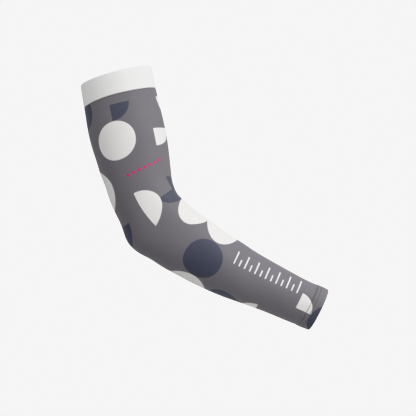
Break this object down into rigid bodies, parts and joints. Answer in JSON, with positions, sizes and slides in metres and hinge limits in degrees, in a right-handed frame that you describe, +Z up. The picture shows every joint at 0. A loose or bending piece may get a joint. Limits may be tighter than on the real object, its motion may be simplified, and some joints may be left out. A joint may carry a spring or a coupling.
{
  "type": "arm warmer",
  "caption": "Knitted sleeve for the whole arm in the bent form it has when worn, with a doubled elastic cuff round the upper arm and a turned, stitched hem at the wrist.",
  "frame": {"origin": "middle of the elastic cuff's mouth, where the sleeve ends round the upper arm", "axes": "+X towards the hand, in the plane of the bend; +Y through the arm, away from the side that is seen; +Z up. The upper arm leans 10.8 degrees off Z and the forearm drops 26.4 degrees below X"},
  "size_m": [0.3462, 0.096, 0.3688],
  "materials": {
    "elastic_band": "matt white elastic knit",
    "printed_knit": "smooth fine stretch knit with a slight sheen, warm grey printed with white and navy dots"
  },
  "bodies": {
    "root": {"upper_cuff": "elastic_band", "sleeve_body": "printed_knit", "wrist_hem": "printed_knit"}
  },
  "joints": []
}
